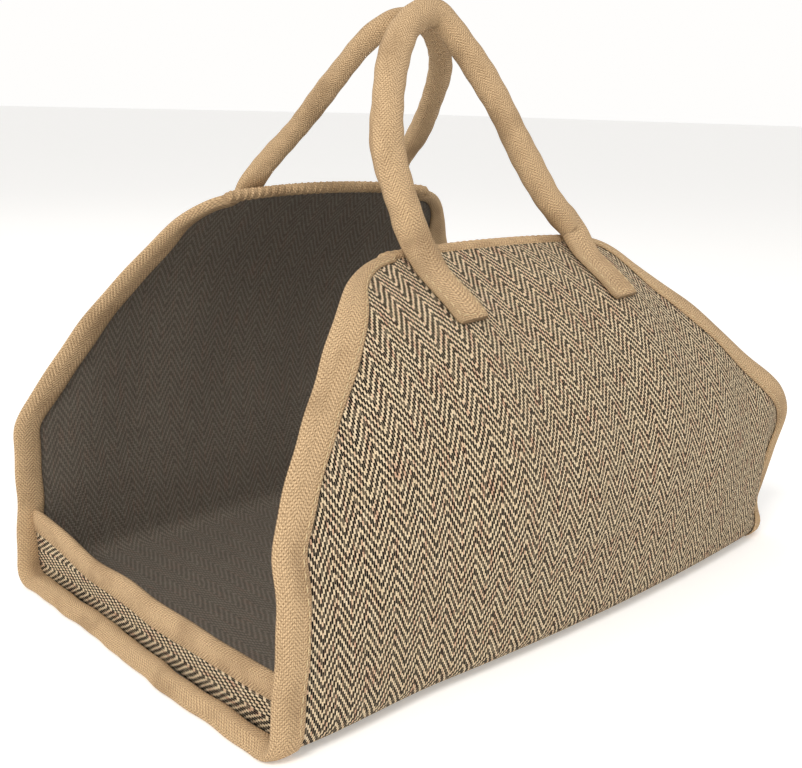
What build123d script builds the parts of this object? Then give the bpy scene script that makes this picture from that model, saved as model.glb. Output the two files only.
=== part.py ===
from build123d import *

import os
from math import cos, degrees, radians, sin, sqrt, tan

# A soft firewood carrier of woven jute: a sling (front side, floor, rear side) bound with tape,
# two low end walls and two padded handles.
# Millimetres. X runs along the bag, the front side faces -Y, +Z is up.
# The origin is the middle of the floor, on the ground.

# Driving dimensions
FLOOR_LENGTH = 500.0
FLOOR_DEPTH = 302.0
BOW = 14.0              # how far each long side bows outwards at mid length
CLOTH = 4.0             # thickness of the cloth
TAPE = 1.2              # thickness of the binding tape
GAP = 0.1               # clearance between two sewn layers
BEND_RADIUS = 14.0      # the soft bend from the floor up into a side
FLARE = 6.0             # degrees that the foot of a side leans outwards
FOLD_HEIGHT = 62.0      # the fold that a side swings about
FOLD_SLIT = 1.6
EDGE_TAPE_WIDTH = 17.0
TOP_TAPE_WIDTH = 9.0

# The cut of a side, seen from the front
SHOULDER_HALF_LENGTH = 264.0
SHOULDER_HEIGHT = 100.0
TOP_HALF_LENGTH = 105.0
MID_SLANT_HALF_LENGTH = 190.0
MID_SLANT_SHARE = 0.54  # height of the slant's middle point, between shoulder and top edge

# The inward lean of a side: length along the cloth and lean in degrees at each stage above the fold
LOWER_CLOTH_LENGTH = 119.0
UPPER_CLOTH_LENGTH = 108.0
FRONT_LEANS = (36.0, 58.0)
REAR_LEANS = (14.0, 40.0)

# End walls
WALL_THICKNESS = 3.0
WALL_OUTER_X = FLOOR_LENGTH / 2 - 13.0
WALL_HEIGHT = 50.0
WALL_SAG = 10.0
WALL_TAPE_WIDTH = 19.0
WALL_CLEARANCE = 0.6

# Handles
HANDLE_SPACING = 160.0
HANDLE_RISE = 152.0
HANDLE_APEX_Y = 13.0
HANDLE_RADIUS = 11.5
CORD_RADIUS = 8.5
CHANNEL_RADIUS = 8.8
HANDLE_CLEARANCE = 4.5   # lets a handle lie down over its own tabs
# Points of each handle's middle line, along the bag and up from the hinge line
FRONT_HANDLE_LINE = ((-80, 0), (-86, 50), (-62, 112), (-18, 145), (12, 112), (44, 50), (80, 0))
REAR_HANDLE_LINE = ((-80, 0), (-54, 50), (-42, 108), (-6, 152), (46, 112), (74, 55), (80, 0))
TAB_WIDTH = 28.0
TAB_LENGTH = 58.0
TAB_THICKNESS = 3.0
TAB_CORNER_RADIUS = 5.0
TAB_START = 10.5        # along the cloth from the top edge down to the tab

# Thread
THREAD = 0.8
STITCH_LENGTH = 4.5
STITCH_PITCH = 7.0
SEAM_INSET = 3.0        # from a tape's or tab's border to its seam
CROSS_STITCHES = 3      # stitches in each row across a tab

HALF_LENGTH = FLOOR_LENGTH / 2
MIDDLE_Z = CLOTH / 2
CORE_HALF = CLOTH / 2 - TAPE - GAP
OUTER_Y = -(FLOOR_DEPTH / 2 + BOW)
BEND_CENTRE_Y = OUTER_Y + CLOTH / 2 + BEND_RADIUS
FLOOR_SHEET_START_Y = -100.0
BOW_RADIUS = (HALF_LENGTH**2 + BOW**2) / (2 * BOW)
BOW_AXIS = Axis((0, OUTER_Y + BOW_RADIUS, 0), (0, 0, 1))
UP_THE_FOOT = (-sin(radians(FLARE)), cos(radians(FLARE)))
OUT_OF_FOOT = (-cos(radians(FLARE)), -sin(radians(FLARE)))
CUT_START_Y = -10.0     # the prisms that cut a side start here, clear of the middle plane
CUT_DEPTH = 260.0
PAST_OUTLINE = 4 * BOW  # how far a cutter reaches past what it cuts
TALL = 8 * SHOULDER_HEIGHT

os.makedirs("parts", exist_ok=True)


def foot_point(height):
    """Y and Z of the cloth's middle surface on the straight foot of a side, at mid length."""
    start_y = BEND_CENTRE_Y + BEND_RADIUS * OUT_OF_FOOT[0]
    start_z = MIDDLE_Z + BEND_RADIUS + BEND_RADIUS * OUT_OF_FOOT[1]
    along = (height - start_z) / UP_THE_FOOT[1]
    return start_y + along * UP_THE_FOOT[0], height


def arc_radii(leans):
    """Radii of the two arcs that carry a side from its foot to its top edge."""
    lower, upper = leans
    return (LOWER_CLOTH_LENGTH / radians(lower + FLARE),
            UPPER_CLOTH_LENGTH / radians(upper - lower))


def upper_point(leans, from_top):
    """Y, Z and lean of the middle surface at a distance down the cloth from the top edge."""
    lower, upper = leans
    lower_radius, upper_radius = arc_radii(leans)
    fold_y, fold_z = foot_point(FOLD_HEIGHT)
    y = fold_y + lower_radius * (cos(radians(FLARE)) - cos(radians(lower)))
    z = fold_z + lower_radius * (sin(radians(FLARE)) + sin(radians(lower)))
    lean = radians(upper) - from_top / upper_radius
    y += upper_radius * (cos(radians(lower)) - cos(lean))
    z += upper_radius * (sin(lean) - sin(radians(lower)))
    return y, z, degrees(lean)


def draw_foot_line(distance):
    """Draw floor edge, bend and foot at a distance outside the middle surface; give its two ends."""
    start = (FLOOR_SHEET_START_Y, MIDDLE_Z - distance)
    floor_line = Line(start, (BEND_CENTRE_Y, MIDDLE_Z - distance))
    bend = JernArc(start=floor_line @ 1, tangent=(-1, 0), radius=BEND_RADIUS + distance, arc_size=FLARE - 90)
    top_y, top_z = foot_point(FOLD_HEIGHT - FOLD_SLIT)
    top = (top_y + distance * OUT_OF_FOOT[0], top_z + distance * OUT_OF_FOOT[1])
    Line(bend @ 1, top)
    return start, top


def draw_side_line(distance, leans):
    """Draw a side above its fold at a distance outside the middle surface; give its two ends."""
    lower, upper = leans
    lower_radius, upper_radius = arc_radii(leans)
    fold_y, fold_z = foot_point(FOLD_HEIGHT)
    start = (fold_y + distance * OUT_OF_FOOT[0], fold_z + distance * OUT_OF_FOOT[1])
    lower_arc = JernArc(start=start, tangent=UP_THE_FOOT, radius=lower_radius + distance,
                        arc_size=-(lower + FLARE))
    upper_arc = JernArc(start=lower_arc @ 1, tangent=lower_arc % 1, radius=upper_radius + distance,
                        arc_size=-(upper - lower))
    return start, upper_arc @ 1


def foot_sheet(inner, outer):
    """The floor's edge, bend and foot between two distances from the middle surface."""
    with BuildPart() as sheet:
        with BuildSketch(Plane.YZ):
            with BuildLine():
                inner_ends = draw_foot_line(inner)
                outer_ends = draw_foot_line(outer)
                Line(inner_ends[0], outer_ends[0])
                Line(inner_ends[1], outer_ends[1])
            make_face()
        revolve(axis=BOW_AXIS)
    return sheet.part


def side_sheet(inner, outer, leans):
    """The curved sheet of a side between two distances from the middle surface."""
    with BuildPart() as sheet:
        with BuildSketch(Plane.YZ):
            with BuildLine():
                inner_ends = draw_side_line(inner, leans)
                outer_ends = draw_side_line(outer, leans)
                Line(inner_ends[0], outer_ends[0])
                Line(inner_ends[1], outer_ends[1])
            make_face()
        revolve(axis=BOW_AXIS)
    return sheet.part


def side_outline(top_z, inset=0.0, top_inset=0.0):
    """The cut of a side in elevation, narrowed by inset along its ends and top_inset along its top."""
    foot_z = -2 * EDGE_TAPE_WIDTH
    slant_z = SHOULDER_HEIGHT + MID_SLANT_SHARE * (top_z - SHOULDER_HEIGHT)
    slant = ThreePointArc((SHOULDER_HALF_LENGTH, SHOULDER_HEIGHT), (MID_SLANT_HALF_LENGTH, slant_z),
                          (TOP_HALF_LENGTH, top_z))
    inwards = inset / slant.radius
    low, middle, high = [slant @ u + (slant.arc_center - slant @ u) * inwards for u in (0, 0.5, 1)]
    past_top = high + (slant % 1) * ((top_z + CLOTH - high.Y) / (slant % 1).Y)
    with BuildSketch() as outline:
        with BuildLine():
            Polyline((HALF_LENGTH - inset, 0), (HALF_LENGTH - inset, foot_z), (0, foot_z),
                     (0, past_top.Y), past_top, high)
            ThreePointArc(high, middle, low)
            Line(low, (HALF_LENGTH - inset, 0))
        make_face()
        mirror(about=Plane.YZ)
        with Locations((0, top_z - top_inset)):
            Rectangle(2 * FLOOR_LENGTH, top_z, align=(Align.CENTER, Align.MIN), mode=Mode.SUBTRACT)
    return outline.sketch


def cut_prism(faces):
    """Elevation faces carried through the whole depth of the front side."""
    with BuildPart() as prism:
        with BuildSketch(Plane.XZ.offset(CUT_START_Y)):
            add(faces)
        extrude(amount=CUT_DEPTH)
    return prism.part


def label_and_export(builder, name):
    builder.part.label = name
    export_step(builder.part, f"parts/{name}.step")


# Base: the floor with its two feet, its end bindings and the end walls

def base_shell(half_thickness):
    """Floor and both feet, to a thickness about the middle surface."""
    sheet = foot_sheet(-half_thickness, half_thickness)
    with BuildPart() as shell:
        with BuildSketch(Plane.XY.offset(MIDDLE_Z - half_thickness)):
            Rectangle(FLOOR_LENGTH + PAST_OUTLINE, 2 * abs(FLOOR_SHEET_START_Y) + BOW)
        extrude(amount=2 * half_thickness)
        with BuildSketch(Plane.XZ.offset(CUT_START_Y)):
            Rectangle(FLOOR_LENGTH + PAST_OUTLINE, 4 * FOLD_HEIGHT)
        near_side = extrude(amount=CUT_DEPTH, mode=Mode.PRIVATE)
        front_foot = sheet & near_side
        add(front_foot)
        mirror(front_foot, about=Plane.XZ)
    return shell.part


def elevation_block(faces, side=0):
    """Elevation faces carried through the whole bag; side keeps only one end, -1 left or 1 right."""
    with BuildPart() as block:
        with BuildSketch(Plane.XZ):
            add(faces)
            if side:
                with Locations((side * FLOOR_LENGTH, 0)):
                    Rectangle(2 * FLOOR_LENGTH, TALL, mode=Mode.INTERSECT)
        extrude(amount=CUT_DEPTH, both=True)
    return block.part


base_top_z = upper_point(FRONT_LEANS, 0)[1]
full_outline = side_outline(base_top_z)
inside_tape_outline = side_outline(base_top_z, inset=EDGE_TAPE_WIDTH)
core_outline = side_outline(base_top_z, inset=TAPE + GAP)
slot_outline = side_outline(base_top_z, inset=TAPE)

thick_base = base_shell(CLOTH / 2)
core_base = base_shell(CORE_HALF)
slot_base = base_shell(CORE_HALF + GAP)

inside_tape_block = elevation_block(inside_tape_outline)
core_block = elevation_block(core_outline)
with BuildPart() as floor_cloth:
    add(core_base)
    add(core_block, mode=Mode.INTERSECT)
    add(thick_base & inside_tape_block)
label_and_export(floor_cloth, "floor_cloth")

for side_name, side in (("left", -1), ("right", 1)):
    tape_block = elevation_block(full_outline - inside_tape_outline, side)
    slot_block = elevation_block(slot_outline, side)
    with BuildPart() as floor_binding:
        add(thick_base)
        add(tape_block, mode=Mode.INTERSECT)
        add(slot_base & slot_block, mode=Mode.SUBTRACT)
    label_and_export(floor_binding, f"{side_name}_floor_binding")


def wall_half_width(height):
    """Half the room between the two feet of the sides, where the end walls stand."""
    bow_here = BOW * (1 - (WALL_OUTER_X / HALF_LENGTH) ** 2)
    widening = tan(radians(FLARE)) * (height - BEND_RADIUS)
    return FLOOR_DEPTH / 2 + bow_here - CLOTH - WALL_CLEARANCE + widening


def wall_face(top_drop, bottom_z):
    """One end wall in elevation, from bottom_z up to its sagging top edge less top_drop."""
    top_z = WALL_HEIGHT - top_drop
    foot_half = wall_half_width(bottom_z)
    top_half = wall_half_width(top_z)
    with BuildSketch() as face:
        with BuildLine():
            low = Line((-foot_half, bottom_z), (foot_half, bottom_z))
            right = Line(low @ 1, (top_half, top_z))
            top = ThreePointArc(right @ 1, (0, top_z - WALL_SAG), (-top_half, top_z))
            Line(top @ 1, low @ 0)
        make_face()
        fillet(face.vertices().group_by(Axis.Y)[0], radius=BEND_RADIUS)
    return face.sketch


WALL_BOTTOM = CLOTH + WALL_CLEARANCE
wall_body = wall_face(WALL_TAPE_WIDTH, WALL_BOTTOM)
wall_core = wall_face(TAPE + GAP, WALL_BOTTOM)
wall_slot = wall_face(TAPE, WALL_BOTTOM)
wall_whole = wall_face(0, WALL_BOTTOM)
WALL_CORE = WALL_THICKNESS - 2 * TAPE - 2 * GAP

for side_name, side in (("left", -1), ("right", 1)):
    wall_middle_x = side * (WALL_OUTER_X - WALL_THICKNESS / 2)
    wall_plane = Plane(origin=(wall_middle_x, 0, 0), x_dir=(0, 1, 0), z_dir=(1, 0, 0))
    with BuildPart() as end_wall:
        with BuildSketch(wall_plane):
            add(wall_body)
        extrude(amount=WALL_THICKNESS / 2, both=True)
        with BuildSketch(wall_plane):
            add(wall_core)
        extrude(amount=WALL_CORE / 2, both=True)
    label_and_export(end_wall, f"{side_name}_end_wall")
    with BuildPart() as wall_tape:
        with BuildSketch(wall_plane):
            add(wall_whole)
            add(wall_body, mode=Mode.SUBTRACT)
        extrude(amount=WALL_THICKNESS / 2, both=True)
        with BuildSketch(wall_plane):
            add(wall_slot)
        extrude(amount=WALL_CORE / 2 + GAP, both=True, mode=Mode.SUBTRACT)
    label_and_export(wall_tape, f"{side_name}_end_wall_tape")


# Sides: each is drawn as the front side, and the rear one is mirrored

def side_piece(sheet, faces, is_rear, name, slot=None, keep=None):
    """A piece of a side: a sheet cut to its elevation, less the slot for the cloth inside it."""
    prism = cut_prism(faces)
    with BuildPart() as piece:
        add(sheet)
        add(prism, mode=Mode.INTERSECT)
        if keep:
            add(keep)
        if slot:
            add(slot, mode=Mode.SUBTRACT)
        if is_rear:
            mirror(about=Plane.XZ, mode=Mode.REPLACE)
    label_and_export(piece, name)


def end_window(side):
    """The elevation region of one end's edge tape, outside the top tape's ends."""
    with BuildSketch() as window:
        with Locations((side * (TOP_HALF_LENGTH + HALF_LENGTH), 0)):
            Rectangle(FLOOR_LENGTH, TALL)
    return window.sketch


def top_window():
    """The elevation region of the top tape, between the two edge tapes."""
    with BuildSketch() as window:
        Rectangle(2 * (TOP_HALF_LENGTH - GAP), TALL)
    return window.sketch


def tab_face(centre_x, low_z, high_z):
    """A handle tab in elevation, with rounded lower corners."""
    with BuildSketch() as face:
        with Locations((centre_x, (low_z + high_z) / 2)):
            Rectangle(TAB_WIDTH, high_z - low_z)
        fillet(face.vertices().group_by(Axis.Y)[0], radius=TAB_CORNER_RADIUS)
    return face.sketch


def tab_stitches(centre_x, low_z, high_z, shortening):
    """Dashes of thread round the border of a tab, shortened up the leaning cloth."""
    middle_z = (low_z + high_z) / 2
    height = high_z - low_z
    pitch = STITCH_PITCH * shortening
    rows = int((height - 2 * SEAM_INSET) / pitch)
    with BuildSketch() as dashes:
        with Locations((centre_x, middle_z)):
            with GridLocations(TAB_WIDTH - 2 * SEAM_INSET, pitch, 2, rows):
                Rectangle(THREAD, STITCH_LENGTH * shortening)
            with GridLocations(STITCH_PITCH, height - 2 * SEAM_INSET * shortening, CROSS_STITCHES, 2):
                Rectangle(STITCH_LENGTH, THREAD)
    return dashes.sketch


def binding_stitches(top_z):
    """Dashes of thread along the inner border of the edge tapes."""
    seam = EDGE_TAPE_WIDTH - SEAM_INSET
    line = side_outline(top_z, inset=seam) - side_outline(top_z, inset=seam + THREAD)
    low_z = FOLD_HEIGHT + STITCH_PITCH
    high_z = top_z - EDGE_TAPE_WIDTH
    rows = int((high_z - low_z) / STITCH_PITCH)
    with BuildSketch() as dashes:
        with Locations((0, (low_z + high_z) / 2)):
            with GridLocations(1, STITCH_PITCH, 1, rows):
                Rectangle(3 * HALF_LENGTH, STITCH_LENGTH)
        add(line, mode=Mode.INTERSECT)
    return dashes.sketch


def make_side(name, leans, is_rear):
    """All pieces of one side above its fold."""
    top_z = upper_point(leans, 0)[1]
    outline = side_outline(top_z)
    inside_tapes = side_outline(top_z, EDGE_TAPE_WIDTH, TOP_TAPE_WIDTH)
    tapes = outline - inside_tapes

    thick = side_sheet(-CLOTH / 2, CLOTH / 2, leans)
    core = side_sheet(-CORE_HALF, CORE_HALF, leans)
    slot = side_sheet(-CORE_HALF - GAP, CORE_HALF + GAP, leans)
    body = thick & cut_prism(inside_tapes)
    slot = slot & cut_prism(side_outline(top_z, TAPE, TAPE))

    core_cut = side_outline(top_z, TAPE + GAP, TAPE + GAP)
    side_piece(core, core_cut, is_rear, f"{name}_side_cloth", keep=body)
    side_piece(thick, tapes & end_window(-1), is_rear, f"{name}_left_edge_binding", slot)
    side_piece(thick, tapes & end_window(1), is_rear, f"{name}_right_edge_binding", slot)
    side_piece(thick, tapes & top_window(), is_rear, f"{name}_top_binding", slot)
    seam = side_sheet(CLOTH / 2 + GAP / 2, CLOTH / 2 + GAP / 2 + THREAD, leans)
    side_piece(seam, binding_stitches(top_z), is_rear, f"{name}_binding_stitching")

    high_z = upper_point(leans, TAB_START)[1]
    low_z = upper_point(leans, TAB_START + TAB_LENGTH)[1]
    shortening = (high_z - low_z) / TAB_LENGTH
    tab_inner = CLOTH / 2 + GAP
    tab_outer = tab_inner + TAB_THICKNESS
    tab_sheet = side_sheet(tab_inner, tab_outer, leans)
    for side_name, side in (("left", -1), ("right", 1)):
        face = tab_face(side * HANDLE_SPACING / 2, low_z, high_z)
        side_piece(tab_sheet, face, is_rear, f"{name}_{side_name}_handle_tab")
    stitches = tab_stitches(-HANDLE_SPACING / 2, low_z, high_z, shortening)
    stitches += tab_stitches(HANDLE_SPACING / 2, low_z, high_z, shortening)
    tab_seam = side_sheet(tab_outer + GAP / 2, tab_outer + GAP / 2 + THREAD, leans)
    side_piece(tab_seam, stitches, is_rear, f"{name}_tab_stitching")


make_side("front", FRONT_LEANS, False)
make_side("rear", REAR_LEANS, True)


# Handles: a cord inside a tape sewn into a tube, hinged on the line through its two ends.
# A handle is drawn flat, with its ends on the local X axis, and then stood on its side.

def handle_plane(leans, side):
    """The plane a handle stands in, with its X axis on the hinge line; side is -1 front, 1 rear."""
    top_y, top_z, lean = upper_point(leans, 0)
    stand_off = CLOTH / 2 + HANDLE_CLEARANCE + HANDLE_RADIUS
    bow_here = BOW * (HANDLE_SPACING / FLOOR_LENGTH) ** 2
    hinge_from_middle = -top_y - bow_here + stand_off * cos(radians(lean))
    hinge_z = top_z + stand_off * sin(radians(lean))
    inward = (hinge_from_middle - HANDLE_APEX_Y) / HANDLE_RISE
    upward = sqrt(1 - inward**2)
    return Plane(origin=(0, side * hinge_from_middle, hinge_z), x_dir=(1, 0, 0),
                 z_dir=(0, -upward, -side * inward))


def handle_tube(line, radius, end_length=0.0):
    """A round bar along the handle's middle line, with straight ends if end_length is given."""
    half = HANDLE_SPACING / 2
    with BuildPart() as tube:
        with BuildLine() as path:
            Spline(*line, tangents=((0, 1), (0, -1)))
        with BuildSketch(Plane(origin=(-half, 0, 0), z_dir=(0, 1, 0))):
            Circle(radius)
        sweep(path=path.line)
        if end_length:
            with BuildSketch(Plane.XZ):
                with Locations((-half, 0), (half, 0)):
                    Circle(radius)
            extrude(amount=end_length)
    return tube.part


def make_handle(name, leans, line, side):
    """The cover and the cord of one handle."""
    place = handle_plane(leans, side).location
    outside = handle_tube(line, HANDLE_RADIUS)
    channel = handle_tube(line, CHANNEL_RADIUS, end_length=2 * HANDLE_RADIUS)
    bar = handle_tube(line, CORD_RADIUS)
    with BuildPart() as flat_cover:
        add(outside)
        with Locations((-HANDLE_SPACING / 2, 0, 0), (HANDLE_SPACING / 2, 0, 0)):
            Sphere(HANDLE_RADIUS)
        add(channel, mode=Mode.SUBTRACT)
    with BuildPart() as cover:
        add(flat_cover.part.moved(place))
    label_and_export(cover, f"{name}_handle_cover")
    with BuildPart() as cord:
        add(bar.moved(place))
    label_and_export(cord, f"{name}_handle_cord")


make_handle("front", FRONT_LEANS, FRONT_HANDLE_LINE, -1)
make_handle("rear", REAR_LEANS, REAR_HANDLE_LINE, 1)
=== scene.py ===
from math import cos, pi, radians, sin, tau

import bmesh
import bpy
import numpy as np
from mathutils import Matrix, Vector


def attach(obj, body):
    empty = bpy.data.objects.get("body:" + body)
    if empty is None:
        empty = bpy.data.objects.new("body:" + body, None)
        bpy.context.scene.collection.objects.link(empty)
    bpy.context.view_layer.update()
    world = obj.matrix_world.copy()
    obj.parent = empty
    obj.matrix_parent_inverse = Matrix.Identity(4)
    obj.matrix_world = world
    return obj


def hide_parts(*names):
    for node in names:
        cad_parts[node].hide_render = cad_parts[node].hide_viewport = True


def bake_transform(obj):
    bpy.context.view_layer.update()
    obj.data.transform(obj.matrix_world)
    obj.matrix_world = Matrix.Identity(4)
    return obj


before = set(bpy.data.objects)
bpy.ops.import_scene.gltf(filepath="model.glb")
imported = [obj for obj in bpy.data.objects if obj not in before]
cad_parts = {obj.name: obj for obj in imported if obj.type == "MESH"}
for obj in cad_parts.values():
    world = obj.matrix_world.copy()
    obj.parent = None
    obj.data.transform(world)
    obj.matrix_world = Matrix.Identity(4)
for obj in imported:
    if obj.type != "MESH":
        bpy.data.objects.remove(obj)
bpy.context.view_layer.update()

# The looks of the log carrier: cloth, tapes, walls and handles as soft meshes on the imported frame.
# Metres. X runs along the bag, the front side faces -Y, +Z is up, and the floor's middle is the origin.

FRONT = -1
REAR = 1

# The sling's line from the middle of the floor up to a top edge: lengths, and leans in degrees.
# A lean of -90 lies flat outwards, 0 stands upright and above 0 leans in over the bag.
FLOOR_RUN = 0.149
BEND_RADIUS = 0.014
FLARE = 6.0
FOOT_RUN = 0.0476
LOWER_RUN = 0.119
UPPER_RUN = 0.108
LEANS = {FRONT: (36.0, 58.0), REAR: (14.0, 40.0)}
CLOTH = 0.004     # the cloth's thickness
BOW = 0.014       # how much nearer the middle a fold lies at its ends than at its centre
HALF_LENGTH = 0.250

# The cut of a side at its left (-1) and right (1) end: half length and height at the shoulder, half
# length a little over half way up the slant, and at the top. Fullness rounds the slant above a shoulder.
SHOULDER_HALF_LENGTH = {(FRONT, -1): 0.256, (FRONT, 1): 0.289, (REAR, -1): 0.243, (REAR, 1): 0.273}
SHOULDER_HEIGHT = {-1: 0.118, 1: 0.093}
SHOULDER_FULLNESS = {-1: 0.0, 1: 0.017}
SLANT_HALF_LENGTH = {(FRONT, -1): 0.200, (FRONT, 1): 0.187, (REAR, -1): 0.171, (REAR, 1): 0.186}
SLANT_SHARE = 0.54
TOP_HALF_LENGTH = {(FRONT, -1): 0.119, (FRONT, 1): 0.113, (REAR, -1): 0.108, (REAR, 1): 0.128}
CORNER_LENGTH = 0.024     # a top corner is a quarter ellipse of this length and height
CORNER_HEIGHT = 0.022
TOP_ARCH = {FRONT: 0.006, REAR: 0.009}     # how much lower a top edge is at its ends
LEFT_SPREAD = 0.010     # how far the left end of the floor is pushed out at the front
FRONT_PUSH = 0.010      # how far its front corner is pushed forwards

TAPE_WIDTH = 0.017     # the edge tape on each face of the cloth
TAPE = 0.0012          # its thickness
SEAM_GAP = 0.0002      # between two layers that lie on each other

# An end wall: its distance from the middle, the height of its foot and of its top edge's middle, how
# far that edge rises to its ends, its half thickness and the tape over it
WALL_X = 0.2355
WALL_FOOT = 0.0046
WALL_MIDDLE_HEIGHT = 0.037
WALL_RISE = {FRONT: 0.006, REAR: 0.014}
WALL_HALF_THICKNESS = 0.0013
WALL_TAPE_WIDTH = 0.015

HANDLE_HALF = 0.080     # from the middle of the bag to a handle's end
# Where the middle of each tab lies along the bag, at its lower and its upper end
TAB_PLACES = {(FRONT, -1): (-0.075, -0.080), (FRONT, 1): (0.081, 0.077),
              (REAR, -1): (-0.077, -0.062), (REAR, 1): (0.079, 0.082)}
TAB_LOW = 0.0685        # a tab's lower end, measured down the cloth from the top edge
STAND_OFF = 0.018       # a handle's hinge line outside the top edge

STEP = 0.0005           # along the sling's profile


# Shape of the sling

def make_profile(leans):
    """Arc length, distance from the middle plane, height and lean along one half of the sling."""
    lower, upper = leans
    bend_run = BEND_RADIUS * radians(90 - FLARE)
    runs = np.cumsum([0, FLOOR_RUN, bend_run, FOOT_RUN, LOWER_RUN, UPPER_RUN])
    s = np.arange(0, runs[-1] + STEP, STEP)
    lean = np.radians(np.interp(s, runs, [-90, -90, -FLARE, -FLARE, lower, upper]))
    outwards = np.concatenate([[0], np.cumsum(-np.sin((lean[1:] + lean[:-1]) / 2) * STEP)])
    height = CLOTH / 2 + np.concatenate([[0], np.cumsum(np.cos((lean[1:] + lean[:-1]) / 2) * STEP)])
    return {"s": s, "outwards": outwards, "height": height, "lean": lean, "top": runs[-1],
            "foot": runs[2], "fold": runs[3]}


PROFILES = {side: make_profile(leans) for side, leans in LEANS.items()}


def ease(value, low, high):
    """0 below low, 1 above high, smooth between."""
    t = np.clip((value - low) / (high - low), 0, 1)
    return t * t * (3 - 2 * t)


def softness(side, s, x):
    """How far the cloth stands out of its plain shape: belly, slow waves and the pull of the tabs."""
    profile = PROFILES[side]
    above = ease(s, profile["foot"], profile["fold"] + 0.06)
    from_top = profile["top"] - s
    belly = 0.0035 * np.cos(pi * np.clip(x / 0.54, -0.5, 0.5)) * np.sin(pi * np.clip(from_top / 0.26, 0, 1))
    waves = 0.0016 * np.sin(tau * x / 0.19 + 1.1 + 14 * s + side) * ease(from_top, 0.0, 0.05)
    waves += 0.0009 * np.sin(tau * x / 0.083 - 9 * s + 2 * side) * ease(from_top, 0.0, 0.05)
    pull = 0
    for tab_x in (-HANDLE_HALF, HANDLE_HALF):
        away = ((x - tab_x) / 0.030) ** 2 + ((from_top - TAB_LOW) / 0.024) ** 2
        pull = pull + 0.0018 * np.exp(-away)
    curled = ease(x, 0.222, 0.264) * ease(s, FLOOR_RUN + 0.004, FLOOR_RUN + 0.034)
    curled = curled * (1 - ease(s, profile["fold"], profile["fold"] + 0.07))
    return above * (belly + waves + pull) - 0.015 * curled


def sling_point(side, s, x, out):
    """World points on one half of the sling, at a distance outside its middle surface."""
    s, x, out = np.broadcast_arrays(np.asarray(s, float), np.asarray(x, float), np.asarray(out, float))
    profile = PROFILES[side]
    past_top = np.maximum(s - profile["top"], 0)
    lean = np.interp(s, profile["s"], profile["lean"])
    outwards = np.interp(s, profile["s"], profile["outwards"]) - past_top * np.sin(lean)
    height = np.interp(s, profile["s"], profile["height"]) + past_top * np.cos(lean)
    outwards = outwards - BOW * (x / HALF_LENGTH) ** 2 * np.clip(s / FLOOR_RUN, 0, 1)
    if side == FRONT:
        pushed = ease(-x, 0.13, 0.25) * ease(s, 0.07, FLOOR_RUN)
        outwards = outwards + FRONT_PUSH * pushed * (1 - ease(s, profile["foot"], profile["fold"] + 0.05))
    tilt = 2 * BOW * x / HALF_LENGTH**2 * ease(s, FLOOR_RUN, FLOOR_RUN + 0.02)
    length = np.sqrt(1 + (tilt * np.cos(lean)) ** 2)
    reach = (out + softness(side, s, x)) / length
    return np.stack([x + reach * tilt * np.cos(lean), side * (outwards + reach * np.cos(lean)),
                     height + reach * np.sin(lean)], axis=-1)


EDGE_STEP = 0.001
ROUNDING = {-1: 18, 1: 40}     # steps to each side over which a shoulder's corner is rounded
TAPE_NARROWING = 0.6           # share of its width that an edge tape loses towards a top corner
NARROWING_LENGTH = 0.060


def floor_spread(end, across):
    """How far a floor end stands out past its half length; across runs -1 to 1 from front to rear."""
    if end > 0:
        return np.zeros_like(across)
    return LEFT_SPREAD * ease(-across, -0.9, 0.8)


def top_arch(side, x):
    """How far the top edge lies under its middle at a distance from the middle."""
    return TOP_ARCH[side] * (x / 0.12) ** 2


def edge_curve(side, end):
    """The sling's end edge in the cloth: arc length and half length, with a softly rounded shoulder."""
    profile = PROFILES[side]
    s = np.arange(0, profile["top"] + 0.03, EDGE_STEP)
    z = np.interp(s, profile["s"], profile["height"])
    z = z + np.maximum(s - profile["top"], 0) * cos(profile["lean"][-1])
    top_z = profile["height"][-1]
    shoulder_z = SHOULDER_HEIGHT[end]
    shoulder_half = SHOULDER_HALF_LENGTH[side, end]
    mid_z = shoulder_z + SLANT_SHARE * (top_z - shoulder_z)
    half_lengths = [shoulder_half + SHOULDER_FULLNESS[end], SLANT_HALF_LENGTH[side, end],
                    TOP_HALF_LENGTH[side, end]]
    slant = np.polyfit([shoulder_z, mid_z, top_z], half_lengths, 2)
    foot = HALF_LENGTH + (shoulder_half - HALF_LENGTH) * np.sin(pi / 2 * np.minimum(z / shoulder_z, 1))
    x = np.minimum(foot, np.where(z > shoulder_z - 0.02, np.polyval(slant, z), 1.0))
    width = ROUNDING[end]
    kernel = np.hanning(2 * width + 3)[1:-1]
    padded = np.pad(x, width, mode="reflect", reflect_type="odd")
    x = np.convolve(padded, kernel / kernel.sum(), mode="valid")
    across = side * np.minimum(s / FLOOR_RUN, 1)
    x = x + floor_spread(end, across) * (1 - ease(z, 0.015, 0.090))
    corner = np.clip((s + top_arch(side, x) - profile["top"] + CORNER_HEIGHT) / CORNER_HEIGHT, 0, 1)
    return s, x - CORNER_LENGTH * (1 - np.sqrt(1 - corner**2))


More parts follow.
